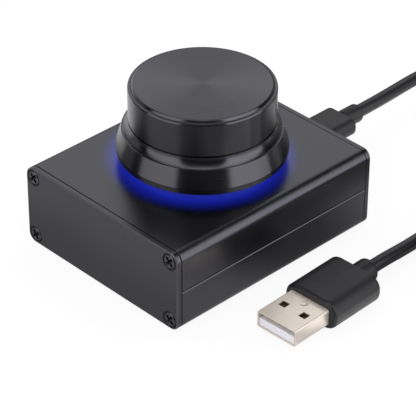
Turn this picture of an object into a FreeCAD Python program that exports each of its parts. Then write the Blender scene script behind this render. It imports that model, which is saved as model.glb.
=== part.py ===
import FreeCAD, Part
import math
import os

from FreeCAD import Vector, Rotation, Placement

# A volume control knob on a small metal box, with its USB cable. Millimetres.
# The origin is the middle of the box where it stands on the desk. +Z is up, +X is to the right
# and +Y runs along the extrusion, from the blank front plate to the rear plate with the socket.

# Case: an extrusion split along its middle, closed by two plates
case_width = 54.0
case_length = 66.0
case_height = 22.0
case_wall = 1.6
case_edge_radius = 2.5
case_inner_radius = 1.0
plate_thickness = 1.5
plate_edge_chamfer = 0.3
shell_edge_chamfer = 0.2
seam_gap = 0.1
tongue_thickness = 0.6
tongue_height = 0.8
pad_thickness = 0.5
pad_margin = 5.0
pad_corner_radius = 4.0

# Screws that hold the plates, in ports along the corners of the extrusion
screw_inset_x = 2.7
screw_inset_z = 2.6
screw_head_radius = 2.0
screw_shank_radius = 1.08
screw_length = 8.0
screw_head_depth = 0.9
screw_recess_length = 2.8
screw_recess_width = 0.55
screw_recess_depth = 0.6
screw_turns = (45, 38, 52, 47)
port_wall = 1.2

# Circuit board, held by rails on the inner side walls
board_thickness = 1.6
board_end_gap = 0.3
board_side_gap = 0.25
rail_reach = 1.5
rail_thickness = 0.9

# Encoder, under the top wall on the knob's axis
knob_y = 1.0
encoder_height = 7.0
frame_thickness = 1.0
housing_size = 12.0
housing_floor = 0.8
bush_radius = 3.5
bush_length = 7.0
shaft_radius = 3.0
shaft_reach = 20.0
shaft_flat = 1.5
shaft_flat_length = 11.5
shaft_flange_radius = 3.6
shaft_flange_thickness = 0.5
drive_radius = 2.2
drive_flat = 1.5
rotor_radius = 4.8
rotor_thickness = 1.2
plunger_radius = 2.8
plunger_thickness = 0.9
plunger_below_ledge = 0.3
dome_thickness = 0.12
press_travel = 0.8
leg_width = 2.2
leg_thickness = 0.8
pin_width = 0.9
pin_thickness = 0.4
pin_pitch = 2.5
pin_stand_off = 1.4
pin_below_board = 1.0

nut_across_flats = 10.0
nut_thickness = 2.0
washer_radius = 5.6
washer_thickness = 0.5

# Lamps round the encoder and the ring that they light
lamp_count = 6
lamp_circle_radius = 13.6
lamp_radius = 1.5
lamp_flange_radius = 1.9
lamp_flange_thickness = 1.0
lamp_length = 5.3
lamp_below_ring = 0.2
lamp_lead_radius = 0.25
lamp_lead_pitch = 2.54
ring_inner_radius = 9.5
ring_outer_radius = 18.8
ring_thickness = 1.1
ring_edge_chamfer = 0.2

# Knob
skirt_gap = 2.65
knob_height = 18.5
knob_top_radius = 17.4
knob_radius = 18.25
knob_chamfer_height = 0.75
groove_height = 9.0
groove_width = 0.4
groove_depth = 0.3
ridge_radius = 19.7
ridge_height = 6.3
ridge_width = 0.35
skirt_radius = 21.35
skirt_band_height = 1.4
skirt_band_step = 0.1
skirt_foot_chamfer = 0.15
knob_cavity_radius = 16.0
knob_cavity_depth = 5.2
hub_radius = 5.0
hub_length = 11.0
hub_flange_radius = 7.5
hub_flange_thickness = 1.0

# Micro-USB socket under the board, and the plug in it
socket_x = 0.2
socket_width = 7.5
socket_height = 2.5
socket_depth = 5.6
socket_wall = 0.25
socket_corner_radius = 0.4
socket_recess = 0.3
socket_back = 1.0
tongue_width = 3.8
socket_tongue_thickness = 0.5
socket_tongue_length = 3.2
slot_margin = 0.3
micro_shell_clearance = 0.07
micro_shell_wall = 0.25
micro_shell_radius = 0.25
micro_tip_gap = 0.4
micro_root = 3.0
micro_grip_gap = 0.8
micro_grip_length = 17.8
micro_grip_width = 10.6
micro_grip_height = 4.9
micro_grip_radius = 2.1
micro_end_radius = 0.8
micro_neck_radius = 2.6
micro_neck_length = 5.8

# Parts on the board, each row a fixed distance in from the board's nearer end
chip_length = 9.9
chip_width = 3.9
chip_thickness = 1.4
chip_stand_off = 0.15
chip_inset = 11.2
lead_count_per_side = 8
lead_pitch = 1.27
lead_width = 0.42
lead_thickness = 0.22
lead_foot = 0.7
lead_reach = 1.05
crystal_length = 11.0
crystal_width = 4.6
crystal_height = 3.4
crystal_corner_radius = 2.1
crystal_x = 14.5
crystal_inset = 11.2
chip_part_count = 6
chip_part_length = 2.0
chip_part_width = 1.25
chip_part_height = 0.6
chip_part_pitch = 3.2
resistor_inset = 5.4
capacitor_inset = 9.2
can_radius = 2.5
can_height = 5.0
can_x = -16.0
can_inset = 11.2

# Large USB plug, lying on the desk
plug_x = 44.2
plug_turn = 2.1
plug_front_y = -18.05
plug_shell_width = 12.0
plug_shell_height = 4.5
plug_shell_wall = 0.3
plug_shell_radius = 0.45
plug_shell_length = 11.8
plug_root = 4.0
plug_window = 2.1
plug_window_spread = 6.4
plug_window_from_mouth = 6.2
plug_dimple_from_mouth = 9.7
plug_dimple_radius = 1.15
plug_dimple_depth = 0.2
plug_tongue_height = 2.2
plug_tongue_recess = 0.3
contact_width = 1.0
contact_thickness = 0.15
contact_length = 8.0
contact_places = (-3.5, -1.0, 1.0, 3.5)
plug_grip_length = 16.8
plug_grip_width = 16.2
plug_grip_height = 7.8
plug_grip_side_radius = 3.6
plug_grip_end_radius = 1.0
plug_neck_radius = 3.1
plug_neck_length = 5.2
plug_neck_round = 1.2

# Cord, wound into a coil of two layers
cord_radius = 1.75
coil_turns_per_layer = 3.5
coil_pitch = 3.6
coil_layer_pitch = 3.55
coil_inner_turn = 12.4
coil_edge_radius = 1.2
coil_x = 66.8
coil_y = 53.0
tie_thickness = 0.8
tie_width = 6.0
tie_slack = 0.5
cord_arc_share = 0.45
cord_lead = 5.0

# Clearances
running_gap = 0.05
fixed_gap = 0.02
loose_gap = 0.1
hole_gap = 0.15
match = 1e-6

# Places that follow from the sizes above
case_bottom = pad_thickness
case_top = case_bottom + case_height
case_middle = case_bottom + case_height / 2
shell_length = case_length - 2 * plate_thickness
inner_width = case_width - 2 * case_wall
frame_top = case_top - case_wall
frame_bottom = frame_top - frame_thickness
board_top = frame_top - encoder_height
board_bottom = board_top - board_thickness
board_end_y = shell_length / 2 - board_end_gap
chip_y = chip_inset - board_end_y
crystal_y = crystal_inset - board_end_y
can_y = can_inset - board_end_y
resistor_y = resistor_inset - board_end_y
capacitor_y = board_end_y - capacitor_inset
knob_bottom = case_top + skirt_gap
cavity_ceiling = knob_bottom + knob_cavity_depth
flange_top = frame_bottom - running_gap
flange_bottom = flange_top - shaft_flange_thickness
rotor_top = flange_bottom - press_travel - hole_gap
rotor_bottom = rotor_top - rotor_thickness
ledge_z = rotor_bottom - running_gap
plunger_top = ledge_z - plunger_below_ledge
plunger_bottom = plunger_top - plunger_thickness
floor_z = board_top + housing_floor
socket_z = board_bottom - socket_height / 2
rear_face_y = case_length / 2
socket_mouth_y = rear_face_y - socket_recess
micro_grip_y = rear_face_y + micro_grip_gap
micro_neck_y = micro_grip_y + micro_grip_length
micro_cord_y = micro_neck_y + micro_neck_length
plug_z = plug_grip_height / 2
coil_outer_turn = coil_inner_turn + coil_pitch * coil_turns_per_layer
coil_bottom = tie_thickness
coil_first_layer_z = coil_bottom + cord_radius
coil_second_layer_z = coil_first_layer_z + coil_layer_pitch
coil_top = coil_second_layer_z + cord_radius
plug_placement = Placement(Vector(plug_x, 0, plug_z), Rotation(Vector(0, 0, 1), plug_turn))
plug_neck_y = plug_front_y + plug_shell_length + plug_grip_length
plug_cord_y = plug_neck_y + plug_neck_length
plug_cord_point = plug_placement.multVec(Vector(0, plug_cord_y, 0))


# Simple solids

def box(low_x, high_x, low_y, high_y, low_z, high_z):
    size = Vector(high_x - low_x, high_y - low_y, high_z - low_z)
    return Part.makeBox(size.x, size.y, size.z, Vector(low_x, low_y, low_z))


def block(width, length, low_z, high_z, x=0.0, y=0.0):
    return box(x - width / 2, x + width / 2, y - length / 2, y + length / 2, low_z, high_z)


def rod(radius, low_z, high_z, x=0.0, y=knob_y):
    return Part.makeCylinder(radius, high_z - low_z, Vector(x, y, low_z))


def pipe_ring(inner_radius, outer_radius, low_z, high_z):
    return rod(outer_radius, low_z, high_z).cut(rod(inner_radius, low_z, high_z))


def rod_along_y(radius, low_y, high_y, x, z):
    return Part.makeCylinder(radius, high_y - low_y, Vector(x, low_y, z), Vector(0, 1, 0))


def edges_along(solid, axis):
    return [edge for edge in solid.Edges
            if isinstance(edge.Curve, Part.Line) and abs(edge.Curve.Direction.dot(axis)) > 0.999]


def rounded_bar(width, height, radius, low_y, high_y, x=0.0, z=0.0):
    # A bar along Y whose section is a rectangle with round corners
    bar = box(x - width / 2, x + width / 2, low_y, high_y, z - height / 2, z + height / 2)
    return bar.makeFillet(radius, edges_along(bar, Vector(0, 1, 0)))


def end_edges(solid, y_values):
    # The edges of the end faces at the given values of y
    return [edge for edge in solid.Edges
            if any(abs(edge.Vertexes[0].Y - y) < match and abs(edge.Vertexes[-1].Y - y) < match
                   for y in y_values)]


def turned(edges):
    # Turns a closed outline of radius and height about the knob's axis
    face = Part.Face(Part.Wire(edges))
    solid = face.revolve(Vector(0, 0, 0), Vector(0, 0, 1), 360)
    solid.translate(Vector(0, knob_y, 0))
    return solid


def outline(points):
    corners = [Vector(radius, 0, height) for radius, height in points]
    return [Part.LineSegment(a, b).toShape() for a, b in zip(corners, corners[1:])]


def at_corners(shape_at):
    return [shape_at(side_x, side_z) for side_x in (-1, 1) for side_z in (-1, 1)]


def port_centre(side_x, side_z):
    x = side_x * (case_width / 2 - screw_inset_x)
    z = case_middle + side_z * (case_height / 2 - screw_inset_z)
    return x, z


# Case

def case_bar(low_y, high_y, edge_chamfer, chamfered_ends):
    bar = rounded_bar(case_width, case_height, case_edge_radius, low_y, high_y, z=case_middle)
    return bar.makeChamfer(edge_chamfer, end_edges(bar, chamfered_ends))


def case_tube():
    end_y = shell_length / 2
    outer = case_bar(-end_y, end_y, shell_edge_chamfer, (-end_y, end_y))
    inner = rounded_bar(inner_width, case_height - 2 * case_wall, case_inner_radius,
                        -end_y, end_y, z=case_middle)
    pilot = screw_shank_radius + fixed_gap
    inside = [rod_along_y(pilot + port_wall, -end_y, end_y, x, z) for x, z in at_corners(port_centre)]
    inside += board_rails()
    tube = outer.cut(inner).fuse([piece.common(outer) for piece in inside]).removeSplitter()
    holes = [rod_along_y(pilot, -end_y, end_y, x, z) for x, z in at_corners(port_centre)]
    return tube.cut(holes)


def board_rails():
    # Two ledges along each side wall, with the board's edge between them
    rails = []
    for side in (-1, 1):
        tip_x = side * (inner_width / 2 - rail_reach)
        root_x = side * (inner_width / 2 + case_wall / 2)
        low_x, high_x = sorted((tip_x, root_x))
        below = board_bottom - fixed_gap
        above = board_top + fixed_gap
        for low_z, high_z in ((below - rail_thickness, below), (above, above + rail_thickness)):
            rails.append(box(low_x, high_x, -shell_length / 2, shell_length / 2, low_z, high_z))
    return rails


def seam_tongues(extra):
    # Strips along the middle of both side walls, on the lower half, in grooves of the upper half
    middle_x = case_width / 2 - case_wall / 2
    half = tongue_thickness / 2 + extra
    top_z = case_middle + tongue_height + extra
    end_y = shell_length / 2
    return [box(side * middle_x - half, side * middle_x + half, -end_y, end_y,
                case_middle - seam_gap, top_z) for side in (-1, 1)]


def seam_notches():
    # Small V cuts that break the outer edges of the seam
    notches = []
    for side in (-1, 1):
        corner = Vector(side * case_width / 2, -shell_length / 2, case_middle)
        depth = Vector(-side * shell_edge_chamfer, 0, 0)
        rise = Vector(0, 0, shell_edge_chamfer + seam_gap / 2)
        wire = Part.makePolygon([corner + depth, corner + rise, corner - rise, corner + depth])
        notches.append(Part.Face(wire).extrude(Vector(0, shell_length, 0)))
    return notches


def lamp_places():
    places = []
    for number in range(lamp_count):
        angle = 2 * math.pi * (number + 0.5) / lamp_count
        places.append((lamp_circle_radius * math.cos(angle),
                       knob_y + lamp_circle_radius * math.sin(angle)))
    return places


def upper_shell(tube):
    above = block(2 * case_width, 2 * case_length, case_middle + seam_gap / 2, 2 * case_top)
    holes = [rod(bush_radius + hole_gap, frame_top, case_top)]
    holes += [rod(lamp_radius + hole_gap, frame_top, case_top, x, y) for x, y in lamp_places()]
    return tube.common(above).cut(holes + seam_tongues(loose_gap) + seam_notches())


def lower_shell(tube):
    below = block(2 * case_width, 2 * case_length, -case_top, case_middle - seam_gap / 2)
    return tube.common(below).cut(seam_notches()).fuse(seam_tongues(0)).removeSplitter()


def screw_cone(x, side, z, extra):
    # The countersunk head, or with a clearance its seat in the plate
    face_y = case_length / 2
    inner_radius = screw_shank_radius + extra
    cone = Part.makeCone(inner_radius, screw_head_radius + extra, screw_head_depth,
                         Vector(x, face_y - screw_head_depth, z), Vector(0, 1, 0))
    return cone if side > 0 else cone.mirror(Vector(0, 0, 0), Vector(0, 1, 0))


def end_plate(side):
    outer_y = side * case_length / 2
    inner_y = side * shell_length / 2
    low_y, high_y = sorted((outer_y, inner_y))
    plate = case_bar(low_y, high_y, plate_edge_chamfer, (outer_y,))
    holes = []
    for x, z in at_corners(port_centre):
        holes.append(rod_along_y(screw_shank_radius + loose_gap, low_y, high_y, x, z))
        holes.append(screw_cone(x, side, z, loose_gap))
    return plate.cut(holes)


def rear_end_plate():
    slot = rounded_bar(socket_width + 2 * slot_margin, socket_height + 2 * slot_margin,
                       slot_margin + socket_corner_radius, shell_length / 2, case_length / 2,
                       socket_x, socket_z)
    return end_plate(1).cut(slot)


def plate_screws(side):
    screws = []
    face_y = side * case_length / 2
    shank_y = side * (case_length / 2 - screw_length)
    low_y, high_y = sorted((shank_y, side * (case_length / 2 - screw_head_depth)))
    for (x, z), turn in zip(at_corners(port_centre), screw_turns):
        screw = rod_along_y(screw_shank_radius, low_y, high_y, x, z).fuse(screw_cone(x, side, z, 0))
        for angle in (turn, turn + 90):
            slot = box(-screw_recess_length / 2, screw_recess_length / 2,
                       -screw_recess_depth, screw_recess_depth,
                       -screw_recess_width / 2, screw_recess_width / 2)
            slot.Placement = Placement(Vector(x, face_y, z), Rotation(Vector(0, 1, 0), angle))
            screw = screw.cut(slot)
        screws.append(screw.removeSplitter())
    return Part.makeCompound(screws)


def anti_slip_pad():
    pad = block(case_width - 2 * pad_margin, case_length - 2 * pad_margin, 0, pad_thickness)
    return pad.makeFillet(pad_corner_radius, edges_along(pad, Vector(0, 0, 1)))


# Encoder

def encoder_frame():
    half = housing_size / 2 + fixed_gap
    plate = block(2 * (half + leg_thickness), housing_size, frame_bottom, frame_top, y=knob_y)
    bush = rod(bush_radius, frame_top, frame_top + bush_length)
    legs = [box(side, side + leg_thickness, knob_y - leg_width / 2, knob_y + leg_width / 2,
                board_bottom - pin_below_board, frame_bottom)
            for side in (half, -half - leg_thickness)]
    bore = rod(shaft_radius + running_gap, frame_bottom, frame_top + bush_length)
    return plate.fuse([bush] + legs).cut(bore).removeSplitter()


def encoder_housing():
    body = block(housing_size, housing_size, board_top, frame_bottom, y=knob_y)
    rotor_room = rod(rotor_radius + loose_gap, ledge_z, frame_bottom)
    plunger_room = rod(plunger_radius + loose_gap, floor_z, ledge_z)
    return body.cut([rotor_room, plunger_room])


def drive_section(extra, low_z, high_z):
    flats = block(2 * (drive_radius + extra), 2 * (drive_flat + extra), low_z, high_z, y=knob_y)
    return rod(drive_radius + extra, low_z, high_z).common(flats)


def flatted_rod(extra, low_z, flat_z, high_z):
    full = rod(shaft_radius + extra, low_z, high_z)
    reach = 2 * shaft_radius
    removed = box(-reach, reach, knob_y + shaft_flat + extra, knob_y + reach, flat_z, high_z)
    return full.cut(removed)


def encoder_shaft():
    top_z = frame_top + shaft_reach
    grip = flatted_rod(0, flange_top, top_z - shaft_flat_length, top_z)
    flange = rod(shaft_flange_radius, flange_bottom, flange_top)
    drive = drive_section(0, plunger_top + fixed_gap, flange_bottom)
    return grip.fuse([flange, drive]).removeSplitter()


def encoder_rotor():
    return rod(rotor_radius, rotor_bottom, rotor_top).cut(
        drive_section(running_gap, rotor_bottom, rotor_top))


def switch_plunger():
    return rod(plunger_radius, plunger_bottom, plunger_top)


def switch_dome():
    # A shallow cap, thin all over, standing on the housing's floor
    height = plunger_bottom - fixed_gap - floor_z
    radius = (plunger_radius ** 2 + height ** 2) / (2 * height)
    centre_z = floor_z + height - radius
    above = rod(plunger_radius, floor_z, plunger_bottom)
    outer = Part.makeSphere(radius, Vector(0, knob_y, centre_z)).common(above)
    inner = Part.makeSphere(radius - dome_thickness, Vector(0, knob_y, centre_z)).common(above)
    return outer.cut(inner)


def terminal_places():
    front = [(step * pin_pitch, -1) for step in (-1, 0, 1)]
    rear = [(step * pin_pitch, 1) for step in (-1, 1)]
    return front + rear


def pin_y(side):
    return knob_y + side * (housing_size / 2 + pin_stand_off)


def encoder_terminals():
    pins = []
    top_z = board_top + pin_stand_off
    for x, side in terminal_places():
        wall_y = knob_y + side * housing_size / 2
        outer_y = pin_y(side) + side * pin_thickness / 2
        low_y, high_y = sorted((wall_y, outer_y))
        arm = box(x - pin_width / 2, x + pin_width / 2, low_y, high_y, top_z - pin_thickness, top_z)
        leg = block(pin_width, pin_thickness, board_bottom - pin_below_board, top_z, x, pin_y(side))
        pins.append(arm.fuse(leg).removeSplitter())
    return Part.makeCompound(pins)


def bush_washer():
    return pipe_ring(bush_radius + loose_gap, washer_radius, case_top, case_top + washer_thickness)


def bush_nut():
    low_z = case_top + washer_thickness
    corner_radius = nut_across_flats / math.sqrt(3)
    corners = [Vector(corner_radius * math.cos(math.radians(angle)),
                      knob_y + corner_radius * math.sin(math.radians(angle)), low_z)
               for angle in range(0, 361, 60)]
    hexagon = Part.Face(Part.makePolygon(corners)).extrude(Vector(0, 0, nut_thickness))
    return hexagon.cut(rod(bush_radius + fixed_gap, low_z, low_z + nut_thickness))


# Light

def lamp_top():
    return case_top - lamp_below_ring


def blue_leds():
    lamps = []
    low_z = lamp_top() - lamp_length
    for x, y in lamp_places():
        straight = rod(lamp_radius, low_z, lamp_top() - lamp_radius, x, y)
        dome = Part.makeSphere(lamp_radius, Vector(x, y, lamp_top() - lamp_radius))
        flange = rod(lamp_flange_radius, low_z, low_z + lamp_flange_thickness, x, y)
        lamps.append(straight.fuse([dome, flange]).removeSplitter())
    return Part.makeCompound(lamps)


def lead_places():
    places = []
    for x, y in lamp_places():
        for side in (-1, 1):
            places.append((x + side * lamp_lead_pitch / 2, y))
    return places


def led_leads():
    low_z = board_bottom - pin_below_board
    return Part.makeCompound([rod(lamp_lead_radius, low_z, lamp_top() - lamp_length, x, y)
                              for x, y in lead_places()])


def light_ring():
    top_z = case_top + ring_thickness
    return turned(outline([
        (ring_inner_radius, case_top),
        (ring_outer_radius, case_top),
        (ring_outer_radius, top_z - ring_edge_chamfer),
        (ring_outer_radius - ring_edge_chamfer, top_z),
        (ring_inner_radius, top_z),
        (ring_inner_radius, case_top)]))


# Knob

def knob_outline():
    top_z = knob_bottom + knob_height
    groove_top = knob_bottom + groove_height
    groove_bottom = groove_top - groove_width
    ridge_top = knob_bottom + ridge_height
    band_top = knob_bottom + skirt_band_height
    band_radius = skirt_radius - skirt_band_step
    upper = outline([
        (0, top_z),
        (knob_top_radius, top_z),
        (knob_radius, top_z - knob_chamfer_height),
        (knob_radius, groove_top),
        (knob_radius - groove_depth, groove_top),
        (knob_radius - groove_depth, groove_bottom),
        (knob_radius, groove_bottom)])
    flare_width = ridge_radius - knob_radius
    flare_height = groove_bottom - ridge_top
    flare_radius = (flare_width ** 2 + flare_height ** 2) / (2 * flare_width)
    half_angle = math.atan2(flare_width, flare_height)
    middle = Vector(knob_radius + flare_radius * (1 - math.cos(half_angle)), 0,
                    groove_bottom - flare_radius * math.sin(half_angle))
    flare = Part.Arc(Vector(knob_radius, 0, groove_bottom), middle,
                     Vector(ridge_radius, 0, ridge_top)).toShape()
    lower = outline([
        (ridge_radius, ridge_top),
        (ridge_radius + ridge_width / 2, ridge_top - ridge_width),
        (skirt_radius, band_top + skirt_band_step),
        (band_radius, band_top),
        (band_radius, knob_bottom + skirt_foot_chamfer),
        (band_radius - skirt_foot_chamfer, knob_bottom),
        (0, knob_bottom),
        (0, top_z)])
    return upper + [flare] + lower


def knob():
    cavity = rod(knob_cavity_radius, knob_bottom, cavity_ceiling)
    bore = rod(hub_radius, cavity_ceiling, cavity_ceiling + hub_length + fixed_gap)
    return turned(knob_outline()).cut([cavity, bore])


def knob_hub():
    body = rod(hub_radius - fixed_gap, cavity_ceiling - hub_flange_thickness,
               cavity_ceiling + hub_length)
    flange = rod(hub_flange_radius, cavity_ceiling - hub_flange_thickness, cavity_ceiling)
    shaft_top = frame_top + shaft_reach
    room = flatted_rod(fixed_gap, cavity_ceiling - hub_flange_thickness,
                       shaft_top - shaft_flat_length, shaft_top + fixed_gap)
    return body.fuse(flange).cut(room).removeSplitter()


# Circuit board and what is soldered to it

def circuit_board():
    board = block(inner_width - 2 * board_side_gap, 2 * board_end_y, board_bottom, board_top)
    leg_x = housing_size / 2 + fixed_gap + leg_thickness / 2
    holes = [rod(lamp_lead_radius + hole_gap, board_bottom, board_top, x, y)
             for x, y in lead_places()]
    holes += [block(leg_thickness + 2 * hole_gap, leg_width + 2 * hole_gap,
                    board_bottom, board_top, side * leg_x, knob_y) for side in (-1, 1)]
    holes += [block(pin_width + 2 * hole_gap, pin_thickness + 2 * hole_gap,
                    board_bottom, board_top, x, pin_y(side)) for x, side in terminal_places()]
    return board.cut(holes)


def on_board(width, length, height, x, y):
    return block(width, length, board_top, board_top + height, x, y)


def controller_chip():
    low_z = board_top + chip_stand_off
    return block(chip_length, chip_width, low_z, low_z + chip_thickness, y=chip_y)


def controller_leads():
    leads = []
    middle_z = board_top + chip_stand_off + chip_thickness / 2
    for side in (-1, 1):
        wall_y = chip_y + side * chip_width / 2
        outer_y = wall_y + side * lead_reach
        foot_y = outer_y - side * lead_foot
        riser_y = foot_y + side * lead_thickness
        for number in range(lead_count_per_side):
            x = (number - (lead_count_per_side - 1) / 2) * lead_pitch
            low_x, high_x = x - lead_width / 2, x + lead_width / 2
            arm = box(low_x, high_x, *sorted((wall_y, riser_y)),
                      middle_z - lead_thickness, middle_z)
            riser = box(low_x, high_x, *sorted((foot_y, riser_y)), board_top, middle_z)
            foot = box(low_x, high_x, *sorted((foot_y, outer_y)),
                       board_top, board_top + lead_thickness)
            leads.append(arm.fuse([riser, foot]).removeSplitter())
    return Part.makeCompound(leads)


def crystal():
    can = on_board(crystal_length, crystal_width, crystal_height, crystal_x, crystal_y)
    return can.makeFillet(crystal_corner_radius, edges_along(can, Vector(0, 0, 1)))


def row_of_chips(row_y):
    first = -(chip_part_count - 1) / 2
    return Part.makeCompound([
        on_board(chip_part_width, chip_part_length, chip_part_height,
                 (first + number) * chip_part_pitch, row_y)
        for number in range(chip_part_count)])


def storage_capacitor():
    return rod(can_radius, board_top, board_top + can_height, can_x, can_y)


def socket_bar(shrink, low_y, high_y):
    return rounded_bar(socket_width - 2 * shrink, socket_height - 2 * shrink,
                       socket_corner_radius - shrink / 2, low_y, high_y, socket_x, socket_z)


def socket_shell():
    low_y = socket_mouth_y - socket_depth
    outer = socket_bar(0, low_y, socket_mouth_y)
    return outer.cut(socket_bar(socket_wall, low_y, socket_mouth_y))


def socket_tongue():
    low_y = socket_mouth_y - socket_depth
    back = socket_bar(socket_wall, low_y, low_y + socket_back)
    tongue = box(socket_x - tongue_width / 2, socket_x + tongue_width / 2,
                 low_y + socket_back, low_y + socket_back + socket_tongue_length,
                 socket_z - socket_tongue_thickness / 2, socket_z + socket_tongue_thickness / 2)
    return back.fuse(tongue).removeSplitter()


# Cable

def grip(width, height, side_radius, end_radius, low_y, high_y, x=0.0, z=0.0):
    bar = rounded_bar(width, height, side_radius, low_y, high_y, x, z)
    return bar.makeFillet(end_radius, end_edges(bar, (low_y, high_y)))


def neck(radius, end_radius, low_y, high_y, x=0.0, z=0.0):
    bar = rod_along_y(radius, low_y, high_y, x, z)
    return bar.makeFillet(end_radius, end_edges(bar, (high_y,)))


def micro_bar(shrink, low_y, high_y):
    clear = socket_wall + micro_shell_clearance + shrink
    return rounded_bar(socket_width - 2 * clear, socket_height - 2 * clear,
                       micro_shell_radius, low_y, high_y, socket_x, socket_z)


def micro_plug_shell():
    tip_y = socket_mouth_y - socket_depth + socket_back + micro_tip_gap
    root_y = micro_grip_y + micro_root
    return micro_bar(0, tip_y, root_y).cut(micro_bar(micro_shell_wall, tip_y, root_y))


def micro_plug_grip():
    body = grip(micro_grip_width, micro_grip_height, micro_grip_radius, micro_end_radius,
                micro_grip_y, micro_neck_y, socket_x, socket_z)
    collar = neck(micro_neck_radius, micro_end_radius, micro_neck_y - micro_root,
                  micro_cord_y, socket_x, socket_z)
    pocket = micro_bar(-fixed_gap, micro_grip_y, micro_grip_y + micro_root + fixed_gap)
    return body.fuse(collar).cut(pocket).removeSplitter()


def usb_bar(shrink, low_y, high_y, radius=plug_shell_radius):
    return rounded_bar(plug_shell_width - 2 * shrink, plug_shell_height - 2 * shrink,
                       radius, low_y, high_y)


def usb_plug_shell():
    root_y = plug_front_y + plug_shell_length + plug_root
    inner_radius = plug_shell_radius - plug_shell_wall / 2
    shell = usb_bar(0, plug_front_y, root_y).cut(
        usb_bar(plug_shell_wall, plug_front_y, root_y, inner_radius))
    window_y = plug_front_y + plug_window_from_mouth
    ball_radius = (plug_dimple_radius ** 2 + plug_dimple_depth ** 2) / (2 * plug_dimple_depth)
    ball_z = plug_shell_height / 2 + ball_radius - plug_dimple_depth
    cuts = [block(plug_window, plug_window, -plug_shell_height, plug_shell_height,
                  side * plug_window_spread / 2, window_y) for side in (-1, 1)]
    cuts.append(Part.makeSphere(ball_radius,
                                Vector(0, plug_front_y + plug_dimple_from_mouth, ball_z)))
    return placed_plug(shell.cut(cuts))


def plug_tongue_bar():
    inner_radius = plug_shell_radius - plug_shell_wall / 2
    low_y = plug_front_y + plug_tongue_recess
    root_y = plug_front_y + plug_shell_length + plug_root
    bar = usb_bar(plug_shell_wall + fixed_gap, low_y, root_y, inner_radius)
    low_z = -plug_shell_height / 2
    lower_part = box(-plug_shell_width, plug_shell_width, low_y, root_y,
                     low_z, low_z + plug_shell_wall + plug_tongue_height)
    return bar.common(lower_part)


def contact_bars():
    top_z = plug_shell_wall + plug_tongue_height - plug_shell_height / 2
    low_y = plug_front_y + plug_tongue_recess + contact_width / 2
    return [box(x - contact_width / 2, x + contact_width / 2, low_y, low_y + contact_length,
                top_z - contact_thickness, top_z)
            for x in contact_places]


def usb_plug_tongue():
    return placed_plug(plug_tongue_bar().cut(contact_bars()))


def usb_plug_contacts():
    return placed_plug(Part.makeCompound(contact_bars()))


def usb_plug_grip():
    low_y = plug_front_y + plug_shell_length
    body = grip(plug_grip_width, plug_grip_height, plug_grip_side_radius, plug_grip_end_radius,
                low_y, plug_neck_y)
    collar = neck(plug_neck_radius, plug_neck_round, plug_neck_y - plug_root, plug_cord_y)
    pocket = usb_bar(-fixed_gap, low_y, low_y + plug_root + fixed_gap)
    return placed_plug(body.fuse(collar).cut(pocket).removeSplitter())


def placed_plug(shape):
    shape.Placement = plug_placement.multiply(shape.Placement)
    return shape


# Cord. Both loose stretches are straight runs joined by arcs, and end in the coil.
cord_to_case_route = [
    Vector(socket_x, micro_cord_y, socket_z),
    Vector(socket_x, 63.2, socket_z),
    Vector(-0.6, 72.0, 10.6),
    Vector(-1.75, 81.6, 10.0),
    Vector(-2.3, 91.5, 9.1),
    Vector(2.6, 101.6, 6.7),
    Vector(14.2, 107.2, 4.0),
    Vector(25.6, 107.6, 2.6),
    Vector(35.7, 102.4, 1.95),
    Vector(41.6, 92.9, 1.95),
    Vector(42.7, 82.2, 2.7),
    Vector(42.0, 72.4, 4.6),
    Vector(41.6, 62.8, 5.75),
    Vector(coil_x - coil_outer_turn, coil_y, coil_second_layer_z),
]
cord_to_computer_route = [
    plug_cord_point,
    plug_placement.multVec(Vector(0, plug_cord_y + cord_lead, 0)),
    Vector(42.75, 29.2, 2.8),
    Vector(41.75, 41.5, 2.0),
    Vector(coil_x - coil_outer_turn, coil_y, coil_first_layer_z),
]


def cord_path(route):
    edges = []
    radii = []
    start = route[0]
    for before, corner, after in zip(route, route[1:], route[2:]):
        back = before - corner
        ahead = after - corner
        trim = cord_arc_share * min(back.Length, ahead.Length)
        back.normalize()
        ahead.normalize()
        half_turn = (math.pi - back.getAngle(ahead)) / 2
        radius = trim / math.tan(half_turn)
        inward = (back + ahead).normalize()
        middle = corner + inward * (radius / math.cos(half_turn) - radius)
        arc_start = corner + back * trim
        arc_end = corner + ahead * trim
        edges.append(Part.LineSegment(start, arc_start).toShape())
        edges.append(Part.Arc(arc_start, middle, arc_end).toShape())
        radii.append(round(radius, 1))
        start = arc_end
    edges.append(Part.LineSegment(start, route[-1]).toShape())
    return Part.Wire(edges), radii


def cord_tube(name, route):
    path, radii = cord_path(route)
    section = Part.Wire(Part.makeCircle(cord_radius, route[0], route[1] - route[0]))
    tube = path.makePipeShell([section], True, False)
    expected = math.pi * cord_radius ** 2 * path.Length
    print(name, "length", round(path.Length, 1), "radii", radii,
          "volume ratio", round(tube.Volume / expected, 5))
    return tube


def cord_coil():
    # The outer shape of the wound turns
    outer = rod(coil_outer_turn + cord_radius, coil_bottom, coil_top, coil_x, coil_y)
    ring = outer.cut(rod(coil_inner_turn - cord_radius, coil_bottom, coil_top, coil_x, coil_y))
    rims = [edge for edge in ring.Edges if isinstance(edge.Curve, Part.Circle)]
    return ring.makeFillet(coil_edge_radius, rims)


def cable_tie():
    # A strap round one side of the coil
    inner_x = coil_x + coil_inner_turn - cord_radius - tie_slack
    outer_x = coil_x + coil_outer_turn + cord_radius + fixed_gap
    low_y, high_y = coil_y - tie_width / 2, coil_y + tie_width / 2
    strap = box(inner_x - tie_thickness, outer_x + tie_thickness, low_y, high_y,
                coil_bottom - tie_thickness, coil_top + tie_thickness)
    room = box(inner_x, outer_x, low_y, high_y, coil_bottom, coil_top)
    return strap.cut(room)


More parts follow.
